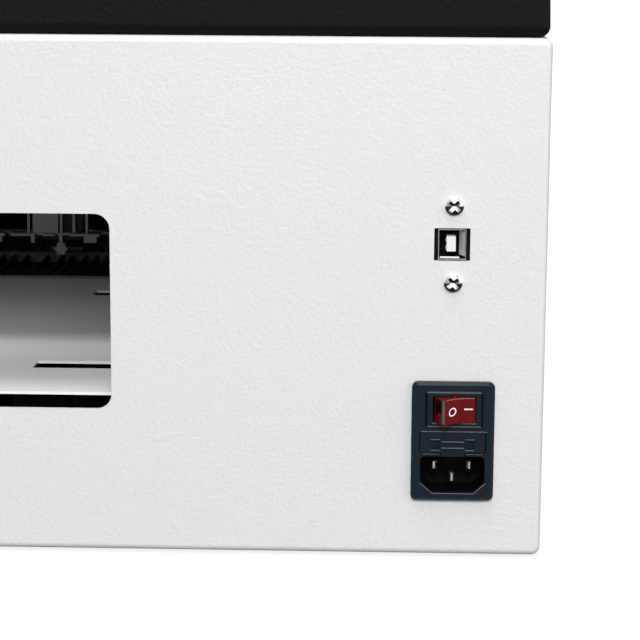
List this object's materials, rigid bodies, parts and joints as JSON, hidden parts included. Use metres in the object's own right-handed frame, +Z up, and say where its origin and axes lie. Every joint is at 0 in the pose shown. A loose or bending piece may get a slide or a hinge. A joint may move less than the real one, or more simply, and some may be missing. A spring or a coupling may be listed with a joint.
{
  "type": "direct-to-film printer",
  "caption": "Desktop film printer: folded white casing with rear film window, mains inlet and data socket, black hinged lid, printing carriage and film feed inside.",
  "frame": {"origin": "on the surface the feet stand on, under the middle of the printer", "axes": "+X across the printer to the right seen from the front, +Y to the rear with the film window, +Z up"},
  "size_m": [0.74, 0.5793, 0.318],
  "materials": {
    "white_coat": "fine orange-peel powder coat, satin",
    "cover_black": "black fine-textured moulding, satin",
    "zinc_sheet": "zinc-plated sheet",
    "foot_rubber": "matt rubber",
    "inlet_moulding": "blue-black moulded plastic",
    "pin_nickel": "nickel plate",
    "rocker_red": "red translucent moulding",
    "socket_white": "black socket moulding",
    "screw_chrome": "bright nickel",
    "platform_white": "satin light grey coat",
    "black_moulding": "black moulded plastic",
    "grey_moulding": "grey moulded plastic",
    "smoked_pane": "smoked acrylic",
    "shaft_steel": "ground steel",
    "key_grey": "grey moulded key",
    "roller_grey": "grey rubber on steel",
    "head_metal": "stainless nozzle plate",
    "damper_clear": "clear moulded plastic",
    "pulley_alloy": "turned alloy",
    "belt_rubber": "black toothed belt",
    "motor_can": "plated steel can",
    "strip_clear": "clear film strip",
    "tank_clear": "translucent bottle plastic",
    "board_green": "solder-masked board",
    "cap_black": "ribbed screw cap",
    "gear_white": "white acetal gear"
  },
  "bodies": {
    "root": {"rear_panel": "white_coat", "front_panel": "white_coat", "side_panel_left": "white_coat", "side_panel_right": "white_coat", "base_tray": "zinc_sheet", "feet": "foot_rubber", "inlet_body": "inlet_moulding", "inlet_pins": "pin_nickel", "switch_frame": "inlet_moulding", "usb_body": "socket_white", "usb_shell": "pin_nickel", "usb_screws": "screw_chrome", "film_platform": "platform_white", "film_guide": "black_moulding", "cover_hood": "cover_black", "hinge_pins": "shaft_steel", "control_panel": "black_moulding", "side_frames": "zinc_sheet", "main_beam": "zinc_sheet", "carriage_rail": "shaft_steel", "front_rail": "zinc_sheet", "platen": "black_moulding", "pinch_arms": "grey_moulding", "exit_plate": "platform_white", "carriage_belt": "belt_rubber", "drive_motors": "motor_can", "encoder_strip": "strip_clear", "capping_station": "grey_moulding", "ink_tanks": "tank_clear", "power_supply": "zinc_sheet", "control_board": "board_green"},
    "drawer": {"fuse_drawer": "inlet_moulding"},
    "rocker": {"power_rocker": "rocker_red"},
    "lid": {"lid": "cover_black", "lid_window": "smoked_pane", "lid_pads": "foot_rubber"},
    "flap": {"front_flap": "cover_black"},
    "power_key": {"power_key": "key_grey"},
    "clean_key": {"clean_key": "key_grey"},
    "feed_key": {"feed_key": "key_grey"},
    "pause_key": {"pause_key": "key_grey"},
    "feed_roller": {"feed_roller": "roller_grey", "feed_gear": "gear_white"},
    "exit_roller": {"exit_roller": "roller_grey", "exit_gear": "gear_white"},
    "pinch_rollers": {"pinch_rollers": "roller_grey"},
    "carriage": {"carriage": "black_moulding", "print_head": "head_metal", "ink_dampers": "damper_clear"},
    "idler_pulley": {"idler_pulley": "pulley_alloy"},
    "drive_pulley": {"drive_pulley": "pulley_alloy"},
    "sled": {"capping_sled": "black_moulding"},
    "ink_cap_1": {"ink_cap_1": "cap_black"},
    "ink_cap_2": {"ink_cap_2": "cap_black"},
    "ink_cap_3": {"ink_cap_3": "cap_black"},
    "ink_cap_4": {"ink_cap_4": "cap_black"},
    "ink_cap_5": {"ink_cap_5": "cap_black"},
    "ink_cap_6": {"ink_cap_6": "cap_black"},
    "idler_gear": {"idler_gear": "gear_white"},
    "motor_pinion": {"motor_pinion": "pulley_alloy"}
  },
  "joints": [
    {"name": "lid_hinge", "type": "hinge", "parent": "root", "child": "lid", "pos_m": [0, 0.11575, 0.31], "axis": [-1, 0, 0], "range_deg": [0, 72]},
    {"name": "flap_hinge", "type": "hinge", "parent": "root", "child": "flap", "pos_m": [0, -0.28385, 0.036], "axis": [1, 0, 0], "range_deg": [0, 82]},
    {"name": "rocker_pivot", "type": "hinge", "parent": "root", "child": "rocker", "pos_m": [-0.3349, 0.28375, 0.062], "axis": [0, 0, -1], "range_deg": [0, 52]},
    {"name": "drawer_slide", "type": "slide", "parent": "root", "child": "drawer", "axis": [0, 1, 0], "range_m": [0, 0.02]},
    {"name": "power_key_press", "type": "slide", "parent": "root", "child": "power_key", "axis": [0, 1, 0], "range_m": [0, 0.0012], "stiffness_N_per_m": 300, "springref_m": -0.0004},
    {"name": "clean_key_press", "type": "slide", "parent": "root", "child": "clean_key", "axis": [0, 1, 0], "range_m": [0, 0.0012], "stiffness_N_per_m": 300, "springref_m": -0.0004},
    {"name": "feed_key_press", "type": "slide", "parent": "root", "child": "feed_key", "axis": [0, 1, 0], "range_m": [0, 0.0012], "stiffness_N_per_m": 300, "springref_m": -0.0004},
    {"name": "pause_key_press", "type": "slide", "parent": "root", "child": "pause_key", "axis": [0, 1, 0], "range_m": [0, 0.0012], "stiffness_N_per_m": 300, "springref_m": -0.0004},
    {"name": "carriage_slide", "type": "slide", "parent": "root", "child": "carriage", "axis": [-1, 0, 0], "range_m": [0, 0.452]},
    {"name": "drive_pulley_spin", "type": "hinge", "parent": "root", "child": "drive_pulley", "pos_m": [0.292, -0.07125, 0.152], "axis": [0, 1, 0], "range_deg": [0, 3300]},
    {"name": "idler_pulley_spin", "type": "hinge", "parent": "root", "child": "idler_pulley", "pos_m": [-0.236, -0.07125, 0.152], "axis": [0, 1, 0], "range_deg": [0, 3300]},
    {"name": "feed_roller_spin", "type": "hinge", "parent": "root", "child": "feed_roller", "pos_m": [0, -0.06425, 0.0642], "axis": [1, 0, 0], "continuous": true},
    {"name": "exit_roller_spin", "type": "hinge", "parent": "root", "child": "exit_roller", "pos_m": [0, -0.14325, 0.0642], "axis": [1, 0, 0], "continuous": true},
    {"name": "pinch_roller_spin", "type": "hinge", "parent": "root", "child": "pinch_rollers", "pos_m": [0, -0.06425, 0.0741], "axis": [1, 0, 0], "continuous": true},
    {"name": "cap_lift", "type": "slide", "parent": "root", "child": "sled", "axis": [0, 0, 1], "range_m": [0, 0.003]},
    {"name": "ink_cap_1_off", "type": "slide", "parent": "root", "child": "ink_cap_1", "axis": [0, 0, 1], "range_m": [0, 0.03]},
    {"name": "ink_cap_2_off", "type": "slide", "parent": "root", "child": "ink_cap_2", "axis": [0, 0, 1], "range_m": [0, 0.03]},
    {"name": "ink_cap_3_off", "type": "slide", "parent": "root", "child": "ink_cap_3", "axis": [0, 0, 1], "range_m": [0, 0.03]},
    {"name": "ink_cap_4_off", "type": "slide", "parent": "root", "child": "ink_cap_4", "axis": [0, 0, 1], "range_m": [0, 0.03]},
    {"name": "ink_cap_5_off", "type": "slide", "parent": "root", "child": "ink_cap_5", "axis": [0, 0, 1], "range_m": [0, 0.03]},
    {"name": "ink_cap_6_off", "type": "slide", "parent": "root", "child": "ink_cap_6", "axis": [0, 0, 1], "range_m": [0, 0.03]},
    {"name": "idler_gear_spin", "type": "hinge", "parent": "root", "child": "idler_gear", "pos_m": [-0.267, -0.10375, 0.0642], "axis": [1, 0, 0], "continuous": true},
    {"name": "motor_pinion_spin", "type": "hinge", "parent": "root", "child": "motor_pinion", "pos_m": [-0.267, -0.05045, 0.03756], "axis": [1, 0, 0], "continuous": true}
  ],
  "couplings": [
    {"joint": "drive_pulley_spin", "follows": "carriage_slide", "rad_per_m": 125},
    {"joint": "idler_pulley_spin", "follows": "carriage_slide", "rad_per_m": 125},
    {"joint": "exit_roller_spin", "follows": "feed_roller_spin", "ratio": 1},
    {"joint": "pinch_roller_spin", "follows": "feed_roller_spin", "ratio": -1.6667},
    {"joint": "idler_gear_spin", "follows": "feed_roller_spin", "ratio": -1.3939},
    {"joint": "motor_pinion_spin", "follows": "feed_roller_spin", "ratio": -3.2857}
  ]
}
